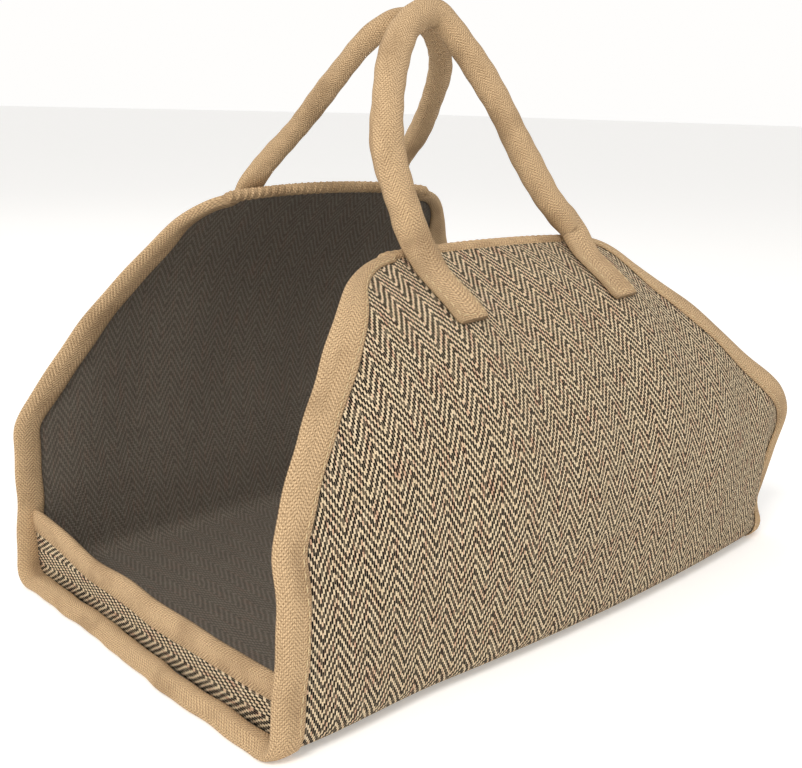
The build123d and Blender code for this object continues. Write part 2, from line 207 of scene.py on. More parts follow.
def inset_curve(side, end, inset, rows):
    """Arc lengths and half lengths of the end edge moved inwards in the cloth, cut at the top edge."""
    s, x = edge_curve(side, end)
    along_s = np.gradient(s)
    along_x = np.gradient(x)
    length = np.hypot(along_s, along_x)
    top = PROFILES[side]["top"]
    narrowed = inset * (1 - TAPE_NARROWING * ease(s, top - NARROWING_LENGTH, top))
    moved_s = s + narrowed * along_x / length
    moved_x = x - narrowed * along_s / length
    moved_s[0] = 0
    walked = np.concatenate([[0], np.cumsum(np.hypot(np.diff(moved_s), np.diff(moved_x)))])
    stop = np.argmax(moved_s + top_arch(side, moved_x) >= top - EDGE_STEP)
    at = np.linspace(0, walked[stop], rows)
    return np.interp(at, walked, moved_s), np.interp(at, walked, moved_x)


# Mesh makers

def make_object(name, vertices, faces, uvs, materials, face_materials=None):
    """A smooth mesh object; uvs holds one pair for every corner of every face."""
    mesh = bpy.data.meshes.new(name)
    mesh.from_pydata([tuple(v) for v in vertices], [], faces)
    layer = mesh.uv_layers.new(name="cloth")
    layer.data.foreach_set("uv", np.asarray(uvs, np.float32).ravel())
    for material in materials:
        mesh.materials.append(material)
    mesh.polygons.foreach_set("use_smooth", [True] * len(faces))
    if face_materials is not None:
        mesh.polygons.foreach_set("material_index", face_materials)
    mesh.update()
    thing = bpy.data.objects.new(name, mesh)
    bpy.context.scene.collection.objects.link(thing)
    return thing


def thick_sheet(name, outer, inner, uv, outer_material, inner_material, open_start=False):
    """A closed sheet between two grids of points with the same shape; uv is a grid of pairs."""
    rows, columns = outer.shape[:2]
    count = rows * columns
    vertices = np.concatenate([outer.reshape(-1, 3), inner.reshape(-1, 3)])
    flat_uv = np.concatenate([uv.reshape(-1, 2), uv.reshape(-1, 2)])
    faces = []
    face_materials = []
    for r in range(rows - 1):
        for c in range(columns - 1):
            a = r * columns + c
            faces.append((a, a + 1, a + columns + 1, a + columns))
            faces.append((count + a, count + a + columns, count + a + columns + 1, count + a + 1))
            face_materials += [0, 1]
    border = [(r * columns, (r + 1) * columns) for r in range(rows - 1)]
    border += [((r + 1) * columns - 1 + columns, (r + 1) * columns - 1) for r in range(rows - 1)]
    border += [((rows - 1) * columns + c, (rows - 1) * columns + c + 1) for c in range(columns - 1)]
    if not open_start:
        border += [(c + 1, c) for c in range(columns - 1)]
    for a, b in border:
        faces.append((a, b, count + b, count + a))
        face_materials.append(0)
    uvs = [flat_uv[v] for face in faces for v in face]
    return make_object(name, vertices, faces, uvs, (outer_material, inner_material), face_materials)


def tube(name, rings, around, along, material, cap_start=True):
    """A tube through rings of points, closed at its end; around and along give its cloth coordinates."""
    count, points = rings.shape[:2]
    faces = []
    uvs = []
    for r in range(count - 1):
        for p in range(points):
            q = (p + 1) % points
            faces.append((r * points + p, r * points + q, (r + 1) * points + q, (r + 1) * points + p))
            uvs += [(around[p], along[r]), (around[p + 1], along[r]),
                    (around[p + 1], along[r + 1]), (around[p], along[r + 1])]
    if cap_start:
        faces.append(tuple(reversed(range(points))))
        uvs += [(around[p], along[0]) for p in reversed(range(points))]
    faces.append(tuple((count - 1) * points + p for p in range(points)))
    uvs += [(around[p], along[-1]) for p in range(points)]
    return make_object(name, rings.reshape(-1, 3), faces, uvs, (material,))


def face_outwards(thing):
    """Turn the mesh's faces outwards."""
    mesh = bmesh.new()
    mesh.from_mesh(thing.data)
    bmesh.ops.recalc_face_normals(mesh, faces=mesh.faces)
    mesh.to_mesh(thing.data)
    mesh.free()
    return thing


# Materials

class Graph:
    """A node material under construction: a few short helpers over Blender's shader nodes."""

    def __init__(self, name, roughness):
        self.material = bpy.data.materials.new(name)
        self.material.use_nodes = True
        self.tree = self.material.node_tree
        self.surface = self.tree.nodes["Principled BSDF"]
        self.surface.inputs["Roughness"].default_value = roughness
        self.surface.inputs["Specular IOR Level"].default_value = 0.08
        coordinates = self.tree.nodes.new("ShaderNodeUVMap")
        coordinates.uv_map = "cloth"
        self.uv = coordinates.outputs[0]
        parts = self.tree.nodes.new("ShaderNodeSeparateXYZ")
        self.tree.links.new(self.uv, parts.inputs[0])
        self.u = parts.outputs[0]
        self.v = parts.outputs[1]

    def put(self, socket, value):
        if isinstance(value, bpy.types.NodeSocket):
            self.tree.links.new(value, socket)
        else:
            socket.default_value = value

    def math(self, operation, *values):
        node = self.tree.nodes.new("ShaderNodeMath")
        node.operation = operation
        for socket, value in zip(node.inputs, values):
            self.put(socket, value)
        return node.outputs[0]

    def scaled(self, value, factor):
        return self.math("MULTIPLY", value, factor)

    def from_middle(self, value, pitch):
        """How far a value is from the middle of its stripe: 0 there, 0.5 at the stripe's borders."""
        place = self.math("FRACT", self.math("DIVIDE", value, pitch))
        return self.math("ABSOLUTE", self.math("SUBTRACT", place, 0.5))

    def shift(self, noise, size):
        """Noise as a shift to both sides, over a size in metres."""
        return self.scaled(self.math("SUBTRACT", noise, 0.5), size)

    def noise(self, u_scale, v_scale, detail=2.0, seed=0.0):
        """Smooth noise between 0 and 1 with its own scale along each cloth direction, per metre."""
        combine = self.tree.nodes.new("ShaderNodeCombineXYZ")
        self.put(combine.inputs[0], self.math("MULTIPLY", self.u, u_scale))
        self.put(combine.inputs[1], self.math("MULTIPLY", self.v, v_scale))
        combine.inputs[2].default_value = seed
        node = self.tree.nodes.new("ShaderNodeTexNoise")
        node.inputs["Scale"].default_value = 1.0
        node.inputs["Detail"].default_value = detail
        self.tree.links.new(combine.outputs[0], node.inputs["Vector"])
        return node.outputs[0]

    def ramp(self, value, low, high):
        """0 below low, 1 above high."""
        node = self.tree.nodes.new("ShaderNodeMapRange")
        node.interpolation_type = "SMOOTHSTEP"
        self.put(node.inputs[0], value)
        node.inputs[1].default_value = low
        node.inputs[2].default_value = high
        return node.outputs[0]

    def mix(self, share, first, second):
        node = self.tree.nodes.new("ShaderNodeMix")
        node.data_type = "RGBA"
        self.put(node.inputs[0], share)
        self.put(node.inputs[6], first)
        self.put(node.inputs[7], second)
        return node.outputs[2]

    def finish(self, colour, height, depth, roughness=None):
        """Set the colour and the relief; depth is the relief's size in metres."""
        self.put(self.surface.inputs["Base Color"], colour)
        if roughness is not None:
            self.put(self.surface.inputs["Roughness"], roughness)
        bump = self.tree.nodes.new("ShaderNodeBump")
        bump.inputs["Strength"].default_value = 1.0
        bump.inputs["Distance"].default_value = depth
        self.put(bump.inputs["Height"], height)
        self.tree.links.new(bump.outputs[0], self.surface.inputs["Normal"])
        self.surface.inputs["Sheen Weight"].default_value = 0.03
        return self.material


def colour(red, green, blue):
    """A colour given as seen on a screen, as the linear values a shader takes."""
    return tuple(((c + 0.055) / 1.055) ** 2.4 for c in (red, green, blue)) + (1.0,)


CREAM = colour(0.98, 0.90, 0.77)
OAT = colour(0.86, 0.76, 0.60)
ROSE_BEIGE = colour(0.84, 0.68, 0.56)
NEARLY_BLACK = colour(0.03, 0.025, 0.02)
# near-black of the black yarn, also used as painted shade in the gaps between the yarns
BLACK_YARN_AND_GAP_SHADE = colour(0.09, 0.07, 0.055)
TAPE_LIGHT = colour(0.92, 0.79, 0.62)
# painted shade in the tape's rib grooves and yarn gaps, and the colour of its darker patches
TAPE_SHADE_AND_PATCH = colour(0.42, 0.31, 0.20)
THREAD_LIGHT = colour(0.90, 0.82, 0.66)
# painted shade in the grooves of the thread's twist
THREAD_GROOVE_SHADE = colour(0.74, 0.62, 0.45)

HERRING_COLUMN = 0.0101         # half a zigzag, across the cloth
HERRING_SLOPE = 1.72            # how steeply the zigzag lines climb
HERRING_LINE = 0.0065           # from one black line to the next, along the cloth
BLACK_SHARE = (0.190, 0.218)    # where a line starts to turn black and where it is black
YARN = 0.00126
YARN_WANDER = 0.0012
LINE_JITTER = 0.0030
WEFT = 0.0021

TAPE_RIB = 0.0025
TAPE_ZIGZAG = 0.006
TAPE_YARN = 0.0012
TAPE_WEFT = 0.0014

THREAD_TWIST = 0.0009


def herringbone(name, contrast, light, dark, second=OAT, third=ROSE_BEIGE):
    """Black and natural yarns woven in zigzag columns; light, second and third vary the natural yarn. The
    gaps between the yarns are darkened with painted shade.
    """
    g = Graph(name, 0.9)
    u = g.math("ADD", g.u, g.shift(g.noise(90, 60), YARN_WANDER))
    v = g.math("ADD", g.v, g.shift(g.noise(140, 110, seed=3.0), LINE_JITTER))
    yarn_middle = g.scaled(g.math("ADD", g.math("FLOOR", g.math("DIVIDE", u, YARN)), 0.5), YARN)
    zigzag = g.scaled(g.math("PINGPONG", yarn_middle, HERRING_COLUMN), HERRING_SLOPE)
    away = g.from_middle(g.math("ADD", v, zigzag), HERRING_LINE)
    line = g.ramp(g.math("SUBTRACT", 0.5, away), *BLACK_SHARE)
    gap = g.ramp(g.from_middle(u, YARN), 0.36, 0.46)
    knots = g.ramp(g.noise(420, 160, detail=1.0, seed=7.0), 0.38, 0.50)
    dots = g.math("MULTIPLY", line, g.math("SUBTRACT", 1.0, g.scaled(gap, 0.80)))
    dots = g.math("MULTIPLY", dots, g.math("ADD", 0.85, g.scaled(knots, 0.15)))
    streaks = g.ramp(g.noise(900, 70, seed=11.0), 0.60, 0.74)
    share = g.scaled(g.math("MAXIMUM", dots, g.scaled(streaks, 0.45)), contrast)
    patches = g.noise(300, 60, seed=5.0)
    warm = g.ramp(g.noise(700, 45, seed=9.0), 0.52, 0.66)
    pale = g.mix(warm, g.mix(patches, light, second), third)
    deep = g.mix(g.ramp(g.noise(500, 500, seed=2.0), 0.45, 0.7), dark, BLACK_YARN_AND_GAP_SHADE)
    # painted shade: the gaps between the yarns are darkened towards near-black
    tone = g.mix(g.scaled(gap, 0.25), g.mix(share, pale, deep), BLACK_YARN_AND_GAP_SHADE)
    fluff = g.noise(1600, 1600, detail=3.0, seed=4.0)
    height = g.math("SUBTRACT", g.math("ADD", fluff, g.scaled(g.from_middle(v, WEFT), 0.8)), gap)
    height = g.math("ADD", height, g.scaled(line, 0.5))
    roughness = g.math("ADD", 0.82, g.scaled(patches, 0.15))
    return g.finish(tone, height, 0.0006, roughness)


def shaded_reverse_cloth():
    """The back of the herringbone, with the zigzag only faint; its greyer, darker colours are painted shade
    of the bag's inside.
    """
    return herringbone("herringbone_reverse_painted_shade", 0.42, colour(0.54, 0.51, 0.46), NEARLY_BLACK,
                       colour(0.44, 0.40, 0.36), colour(0.52, 0.46, 0.41))


def jute_tape():
    """Golden twill tape with fine zigzag ribs, a plain grain under them and darker patches; the dark in the
    grooves between the ribs and yarns is painted shade, the patches are the jute's own tone.
    """
    g = Graph("jute_tape", 0.85)
    wobble = g.shift(g.noise(300, 300), 0.0010)
    slant = g.math("ADD", g.math("PINGPONG", g.u, TAPE_ZIGZAG), g.math("ADD", g.v, wobble))
    rib = g.from_middle(slant, TAPE_RIB)
    yarn = g.from_middle(g.u, TAPE_YARN)
    fuzz = g.noise(1150, 850, detail=3.0, seed=6.0)
    slow = g.noise(35, 25, seed=1.0)
    # painted shade: darker in the grooves between the ribs and in the gaps at the yarn crossings
    crossing = g.ramp(g.math("MAXIMUM", g.from_middle(g.v, TAPE_WEFT), yarn), 0.22, 0.5)
    share = g.math("ADD", g.scaled(rib, 0.75), g.scaled(crossing, 0.40))
    share = g.math("ADD", share, g.scaled(g.ramp(fuzz, 0.45, 0.62), 0.22))
    tone = g.mix(share, TAPE_LIGHT, TAPE_SHADE_AND_PATCH)
    tone = g.mix(g.scaled(g.ramp(slow, 0.45, 0.75), 0.35), tone, TAPE_SHADE_AND_PATCH)
    height = g.math("ADD", g.math("SUBTRACT", 0.5, rib), g.scaled(fuzz, 0.7))
    height = g.math("ADD", height, g.scaled(yarn, -0.35))
    return g.finish(tone, height, 0.0009, g.math("ADD", 0.75, g.scaled(fuzz, 0.2)))


def sewing_thread():
    """Twisted waxed thread, darker with painted shade in the grooves of its twist."""
    g = Graph("sewing_thread", 0.6)
    strand = g.from_middle(g.math("ADD", g.u, g.v), THREAD_TWIST)
    # painted shade: darker where the strands meet
    tone = g.mix(g.scaled(strand, 1.4), THREAD_LIGHT, THREAD_GROOVE_SHADE)
    height = g.math("ADD", g.math("SUBTRACT", 0.5, strand), g.scaled(g.noise(2500, 2500), 0.3))
    return g.finish(tone, height, 0.0003, g.math("ADD", 0.55, g.scaled(g.noise(900, 900), 0.2)))


FLOOR_GLOW = (1.0, 0.99, 0.975, 1)     # keeps the far floor as pale as the sky


def floor_finish():
    """A plain pale studio floor."""
    g = Graph("pale_floor", 0.7)
    g.surface.inputs["Base Color"].default_value = (0.90, 0.895, 0.885, 1)
    g.surface.inputs["Emission Color"].default_value = FLOOR_GLOW
    g.surface.inputs["Emission Strength"].default_value = 0.24
    return g.material


HERRINGBONE = herringbone("herringbone_cloth", 1.0, CREAM, NEARLY_BLACK)
# the inside faces get the back of the weave, darkened with painted shade
SHADED_REVERSE = shaded_reverse_cloth()
TAPE_FINISH = jute_tape()
THREAD = sewing_thread()
SIDE_NAMES = {FRONT: "front", REAR: "rear"}
END_NAMES = {-1: "left", 1: "right"}


def bend_at_fold(thing):
    """Bake the piece's placement into its mesh."""
    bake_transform(thing)


# The sling's cloth

SHEET_COLUMNS = 96
SHEET_ROWS = 84
CORNER_ROWS = 19       # finer rows over the band that holds the top corners
CORNER_BAND = 0.035
ARCH_BAND = 0.12       # the band over which the cloth takes up the arch of its top edge
TUCK = 0.0015          # how far the cloth stops short of the outer fold of its edge tape


def make_sling(side):
    """One half of the sling as a closed sheet from the floor's middle to a top edge."""
    name = SIDE_NAMES[side]
    top = PROFILES[side]["top"] - 0.001
    band = top - CORNER_BAND
    s = np.concatenate([np.linspace(0, band, SHEET_ROWS), np.linspace(band, top, CORNER_ROWS)[1:]])
    cut_s = s - top_arch(side, 0.1) * ease(s, band, top)
    left, right = [np.interp(cut_s, *edge_curve(side, end)) - TUCK for end in (-1, 1)]
    share = np.linspace(0, 1, SHEET_COLUMNS)
    x = (left + right)[:, None] * share[None, :] - left[:, None]
    grid_s = s[:, None] - top_arch(side, x) * ease(s, top - ARCH_BAND, top)[:, None]
    lift = 0.0006 * (1 - ease(grid_s, FLOOR_RUN, PROFILES[side]["foot"]))
    outer = sling_point(side, grid_s, x, CLOTH / 2 - lift)
    inner = sling_point(side, grid_s, x, -CLOTH / 2)
    uv = np.stack([x, grid_s * -side], axis=-1)
    sheet = thick_sheet(f"{name}_sling", outer, inner, uv, HERRINGBONE, SHADED_REVERSE, open_start=True)
    face_outwards(sheet)
    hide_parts("floor_cloth", f"{name}_side_cloth")
    bend_at_fold(sheet)


# The tape round the sling's ends

TAPE_ROWS = 150
FLOOR_SWELL = 0.0035     # how plump the tape's inner face is round the ends of the floor


def tape_section(width):
    """The tape's wrap round a cloth edge: pairs of inwards distance and height over the middle."""
    skin = CLOTH / 2 + SEAM_GAP
    puff = TAPE + 0.0008
    top = [(width, skin + 0.0002), (width - 0.001, skin + TAPE), (width * 0.75, skin + puff * 0.85),
           (width * 0.5, skin + puff), (width * 0.25, skin + puff), (0.003, skin + puff * 0.8),
           (-0.0006, skin + 0.0004), (-0.0024, skin * 0.45)]
    under = [(a, -h) for a, h in reversed(top)]
    inside = [(width - 0.002, -skin), (0.004, -skin), (0.0002, -skin * 0.6),
              (0.0002, skin * 0.6), (0.004, skin), (width - 0.002, skin)]
    return top + [(-0.0029, 0.0)] + under + inside


def section_lengths(section):
    """Distance walked round a closed section, at each point and back at the start."""
    closed = np.array(section + section[:1])
    return np.concatenate([[0], np.cumsum(np.hypot(*np.diff(closed, axis=0).T))])


def make_edge_tape(side, end):
    """The tape round one end of one half of the sling."""
    section = tape_section(TAPE_WIDTH)
    rings = []
    for inset, out in section:
        s, x = inset_curve(side, end, inset, TAPE_ROWS)
        on_floor = 1 - ease(s, FLOOR_RUN - 0.02, PROFILES[side]["foot"])
        ripple = 0.0007 * np.sin(tau * s / 0.083 + 2.0 * side + end) + 0.0004 * np.sin(tau * s / 0.036 + end)
        ripple = ripple * ease(s, 0, 0.04)
        if out < 0:
            x = x + 0.25 * max(inset, 0) * on_floor
        held = np.where(out > CLOTH / 2, out - on_floor * (out - CLOTH / 2), out)
        swell = FLOOR_SWELL * sin(pi * min(1, max(0, inset / TAPE_WIDTH)))
        plump = np.where(out < -CLOTH / 2, -swell * on_floor, 0)
        rings.append(sling_point(side, s, end * (x + ripple), held + plump))
    rings = np.stack(rings, axis=1)
    along = inset_curve(side, end, 0, TAPE_ROWS)[0]
    name = f"{SIDE_NAMES[side]}_{END_NAMES[end]}_edge_tape"
    tape = tube(name, rings, section_lengths(section), along, TAPE_FINISH, cap_start=False)
    face_outwards(tape)
    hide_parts(f"{END_NAMES[end]}_floor_binding", f"{SIDE_NAMES[side]}_{END_NAMES[end]}_edge_binding")
    bend_at_fold(tape)


# The rope-like tape over a top edge

TOP_TAPE_RADIUS = 0.0040
TOP_TAPE_RINGS = 330
TOP_TAPE_POINTS = 28
TOP_TAPE_WIDTH = 0.026     # the flat tape before it was wound
TOP_RIB = 0.0065
FINE_RIB = 0.0031
CORNER_OVERLAP = 0.6       # share of a corner's length that the tape follows before it ends


def make_top_binding(side):
    """A narrow tape wound over the top edge, with slanting ribs, that follows both corners a little."""
    name = SIDE_NAMES[side]
    left, right = [TOP_HALF_LENGTH[side, end] - (1 - CORNER_OVERLAP) * CORNER_LENGTH for end in (-1, 1)]
    x = np.linspace(-left, right, TOP_TAPE_RINGS)
    angle = np.linspace(0, tau, TOP_TAPE_POINTS + 1)[:-1]
    grid_x, grid_angle = np.meshgrid(x, angle, indexing="ij")
    ribs = 0.00042 * np.sin(tau * grid_x / TOP_RIB + grid_angle) * np.sin(grid_angle / 2 + 0.3) ** 2
    ribs += 0.00025 * np.sin(tau * grid_x / FINE_RIB + 2 * grid_angle)
    taper = 1 - 0.35 * (ease(grid_x, right - 0.006, right) + ease(-grid_x, left - 0.006, left))
    radius = (TOP_TAPE_RADIUS + ribs) * taper
    past = np.maximum(grid_x - right, -left - grid_x) + CORNER_OVERLAP * CORNER_LENGTH
    corner = np.maximum(past, 0) / CORNER_LENGTH
    drop = top_arch(side, grid_x) + CORNER_HEIGHT * (1 - np.sqrt(1 - corner**2))
    s = PROFILES[side]["top"] - 0.0022 - drop + radius * 1.12 * np.sin(grid_angle)
    rings = sling_point(side, s, grid_x, radius * np.cos(grid_angle))
    around = np.linspace(0, TOP_TAPE_WIDTH, TOP_TAPE_POINTS + 1)
    binding = tube(f"{name}_top_tape", rings, around, x, TAPE_FINISH)
    face_outwards(binding)
    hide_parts(f"{name}_top_binding")
    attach(binding, f"{name}_side")


# End walls

WALL_COLUMNS = 60
WALL_ROWS = 14
WALL_TAPE_RINGS = 110
WALL_CLEARANCE = 0.0012     # between an end wall's ends and the sides' cloth
WALL_LEAN = 0.004           # how far its middle leans in at the top


def wall_point(end, across, height, out):
    """World points on an end wall: across runs -1 to 1 from front to rear."""
    across, height, out = np.broadcast_arrays(*[np.asarray(v, float) for v in (across, height, out)])
    free = np.cos(pi * across / 2)
    lean = WALL_LEAN * ease(height, 0.010, 0.050)
    waves = 0.0018 * np.sin(5.2 * across + end) + 0.0010 * np.sin(13 * across + 2)
    waves = waves * ease(height, 0.008, 0.05)
    x = WALL_X + floor_spread(end, across) + (waves - lean) * free + out
    limits = []
    for side in (FRONT, REAR):
        s = np.linspace(FLOOR_RUN, PROFILES[side]["fold"] + 0.02, 60)
        wall_end = WALL_X + floor_spread(end, np.float64(side))
        inner = sling_point(side, s, end * wall_end, -CLOTH / 2 - WALL_CLEARANCE)
        limits.append(np.interp(height, inner[:, 2], np.abs(inner[:, 1])))
    y = np.where(across < 0, across * limits[0], across * limits[1])
    return np.stack([end * x, y, height], axis=-1)


def wall_top(across):
    """Height of a wall's sagging top edge."""
    rise = np.where(across < 0, WALL_RISE[FRONT], WALL_RISE[REAR])
    return WALL_MIDDLE_HEIGHT + rise * across**2 + 0.0008 * np.sin(9 * across)


def wall_tape_section():
    """The tape's wrap over a wall's top: pairs of distance down the wall and out from its middle."""
    width = WALL_TAPE_WIDTH
    skin = 0.0016
    full = skin + 0.0018
    inside = 0.00145
    top = [(width, skin), (width - 0.001, skin + 0.00126), (width / 2, full), (0.004, full),
           (0.0006, 0.0024)]
    under = [(down, -out) for down, out in reversed(top)]
    lining = [(width - 0.002, -inside), (0.0015, -inside), (0.0015, inside), (width - 0.002, inside)]
    return top + [(-0.0006, 0.0)] + under + lining


def make_wall(end):
    """One end wall, of the same cloth laid on its side, and the tape over its top edge."""
    across = np.linspace(-1, 1, WALL_COLUMNS)
    share = np.linspace(0, 1, WALL_ROWS)
    height = WALL_FOOT + share[:, None] * (wall_top(across)[None, :] - 0.002 - WALL_FOOT)
    across_grid = np.repeat(across[None, :], WALL_ROWS, axis=0)
    outer = wall_point(end, across_grid, height, WALL_HALF_THICKNESS)
    inner = wall_point(end, across_grid, height, -WALL_HALF_THICKNESS)
    uv = np.stack([height - 0.0035, outer[..., 1]], axis=-1)
    wall = thick_sheet(f"{END_NAMES[end]}_wall", outer, inner, uv, HERRINGBONE, SHADED_REVERSE)
    face_outwards(wall)
    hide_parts(f"{END_NAMES[end]}_end_wall")
    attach(wall, "base")

    section = wall_tape_section()
    across = np.linspace(-0.995, 0.995, WALL_TAPE_RINGS)
    lines = [wall_point(end, across, wall_top(across) - down, out) for down, out in section]
    rings = np.stack(lines, axis=1)
    tape = tube(f"{END_NAMES[end]}_wall_tape", rings, section_lengths(section), rings[:, 0, 1], TAPE_FINISH)
    face_outwards(tape)
    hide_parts(f"{END_NAMES[end]}_end_wall_tape")
    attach(tape, "base")


# Handles

HANDLE_RISE = 0.152       # of the apex over the hinge line
HANDLE_APEX_Y = 0.013     # the apex's distance from the middle plane
# Each handle's middle line in its own plane: place along the bag and rise over the hinge line
HANDLE_LINES = {
    FRONT: [(-0.084, 0.010), (-0.087, 0.050), (-0.077, 0.083), (-0.061, 0.115), (-0.040, 0.137),
            (-0.014, 0.144), (0.008, 0.119), (0.027, 0.086), (0.041, 0.050), (0.058, 0.014)],
    REAR: [(-0.055, 0.014), (-0.048, 0.050), (-0.044, 0.100), (-0.038, 0.138), (-0.020, 0.156),
           (0.012, 0.151), (0.048, 0.116), (0.068, 0.076), (0.080, 0.040), (0.083, 0.012)],
}
# Half widths in the handle's own plane: left leg, top and right leg, then half the thickness
HANDLE_WIDTHS = {FRONT: (0.0116, 0.0098, 0.0104, 0.0096), REAR: (0.0082, 0.0086, 0.0096, 0.0078)}
HANDLE_SECTION = 28
HANDLE_STEP = 0.0025
HANDLE_ROUND = 0.072     # the handle tape's width before it was sewn into a tube
TAB_HALF_WIDTH = 0.0140
TAB_HALF_THICKNESS = 0.0020
# A tab's middle line: distances down the cloth from the top edge, and heights over the cloth
TAB_DOWN = (TAB_LOW, 0.054, 0.040, 0.027, 0.016, 0.005)
TAB_HEIGHTS = (0.0021, 0.0021, 0.0022, 0.0030, 0.0062, 0.0105)


def smooth_line(points, step):
    """A smooth line through points, at even steps."""
    points = np.asarray(points, float)
    padded = np.vstack([2 * points[0] - points[1], points, 2 * points[-1] - points[-2]])
    pieces = []
    for i in range(len(points) - 1):
        a, b, c, d = padded[i : i + 4]
        t = np.linspace(0, 1, 40, endpoint=False)[:, None]
        pieces.append(0.5 * (2 * b + (c - a) * t + (2 * a - 5 * b + 4 * c - d) * t**2
                             + (3 * b - a - 3 * c + d) * t**3))
    line = np.vstack(pieces + [points[-1:]])
    lengths = np.concatenate([[0], np.cumsum(np.linalg.norm(np.diff(line, axis=0), axis=1))])
    at = np.linspace(0, lengths[-1], int(lengths[-1] / step))
    return np.stack([np.interp(at, lengths, line[:, k]) for k in range(3)], axis=1), at


def hinge_line(side):
    """The hinge point at mid length and the handle's direction and outward normal at rest."""
    profile = PROFILES[side]
    lean = profile["lean"][-1]
    bow = BOW * (HANDLE_HALF / HALF_LENGTH) ** 2
    outwards = profile["outwards"][-1] - bow + STAND_OFF * cos(lean)
    height = profile["height"][-1] + STAND_OFF * sin(lean)
    inward = (outwards - HANDLE_APEX_Y) / HANDLE_RISE
    up = (1 - inward**2) ** 0.5
    return (np.array([0, side * outwards, height]), np.array([0, -side * inward, up]),
            np.array([0, side * up, inward]))


def tab_middle(side, end, down):
    """Where the middle of a tab lies along the bag, at a distance down the cloth from the top edge."""
    low, high = TAB_PLACES[side, end]
    return high + (low - high) * np.clip(down / TAB_LOW, 0, 1)


def make_handle(side):
    """A padded tube of tape whose two ends are flattened into tabs sewn on the outside of a side."""
    name = SIDE_NAMES[side]
    top = PROFILES[side]["top"]
    origin, upward, normal = hinge_line(side)
    loop = [origin + np.array([x, 0, 0]) + rise * upward for x, rise in HANDLE_LINES[side]]
    tabs = {}
    for end in (-1, 1):
        down = np.array(TAB_DOWN)
        out = CLOTH / 2 + np.array(TAB_HEIGHTS)
        tabs[end] = list(sling_point(side, top - down, tab_middle(side, end, down), out))
    points = tabs[-1] + loop + tabs[1][::-1]
    line, at = smooth_line(points, HANDLE_STEP)
    total = at[-1]
    from_end = np.minimum(at, total - at)
    tangent = np.gradient(line, axis=0)
    tangent /= np.linalg.norm(tangent, axis=1)[:, None]
    lower, upper = [sling_point(side, top - 0.04, HANDLE_HALF, out) for out in (0.0, 0.01)]
    cloth_normal = upper - lower
    cloth_normal[0] = 0
    cloth_normal /= np.linalg.norm(cloth_normal)
    turn = ease(from_end, 0.045, 0.095)[:, None]
    facing = cloth_normal * (1 - turn) + normal * turn
    width_axis = np.cross(facing, tangent)
    width_axis /= np.linalg.norm(width_axis, axis=1)[:, None]
    thick_axis = np.cross(tangent, width_axis)

    left, apex, right, thick = HANDLE_WIDTHS[side]
    tab = TAB_HALF_WIDTH
    leg_places = [0, 0.050, 0.085, 0.140]
    places = leg_places + [total / 2] + [total - place for place in reversed(leg_places)]
    widths = [tab, tab - 0.0002, left, left, apex, right, right, tab - 0.0002, tab]
    half_width = np.interp(at, places, widths)
    half_thick = np.interp(from_end, [0, 0.040, 0.055, 0.080], [0.0019, TAB_HALF_THICKNESS, 0.0040, thick])
    half_width = half_width * (0.86 + 0.14 * ease(from_end, 0.0, 0.004))
    square = np.interp(from_end, [0, 0.045, 0.080], [4.0, 3.6, 2.0])
    angle = np.linspace(0, tau, HANDLE_SECTION + 1)[:-1]
    c = np.cos(angle)[None, :]
    d = np.sin(angle)[None, :]
    power = (2 / square)[:, None]
    a = np.sign(c) * np.abs(c) ** power * half_width[:, None]
    b = np.sign(d) * np.abs(d) ** power * half_thick[:, None]
    padded = ease(from_end, 0.060, 0.085)[:, None]
    crease = 0.00022 * np.sin(tau * at[:, None] / 0.017 + 2.4 * np.sin(angle)[None, :] + side)
    crease += 0.00040 * np.sin(tau * at[:, None] / 0.071 + 2 * angle[None, :] + 2 * side)
    seam = 0.0012 * np.exp(-(((angle[None, :] - 1.5 * pi) / 0.20) ** 2))
    swell = 1 + padded * (crease + seam) / 0.0115
    sideways = (a * swell)[..., None] * width_axis[:, None, :]
    rings = line[:, None, :] + sideways + (b * swell)[..., None] * thick_axis[:, None, :]
    around = np.linspace(0, HANDLE_ROUND, HANDLE_SECTION + 1)
    handle = tube(f"{name}_handle", rings, around, at, TAPE_FINISH)
    face_outwards(handle)
    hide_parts(f"{name}_handle_cover", f"{name}_handle_cord", f"{name}_left_handle_tab",
                f"{name}_right_handle_tab")
    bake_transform(handle)


# Stitches

THREAD_POINTS = 6
THREAD_RINGS = 5
THREAD_ROUND = 0.003     # the thread's way round, in cloth coordinates
BINDING_PITCH = 0.0065
TAB_PITCH = 0.0062
TAB_SEAM_HALF = 0.0108     # from a tab's middle line to the seams along its borders


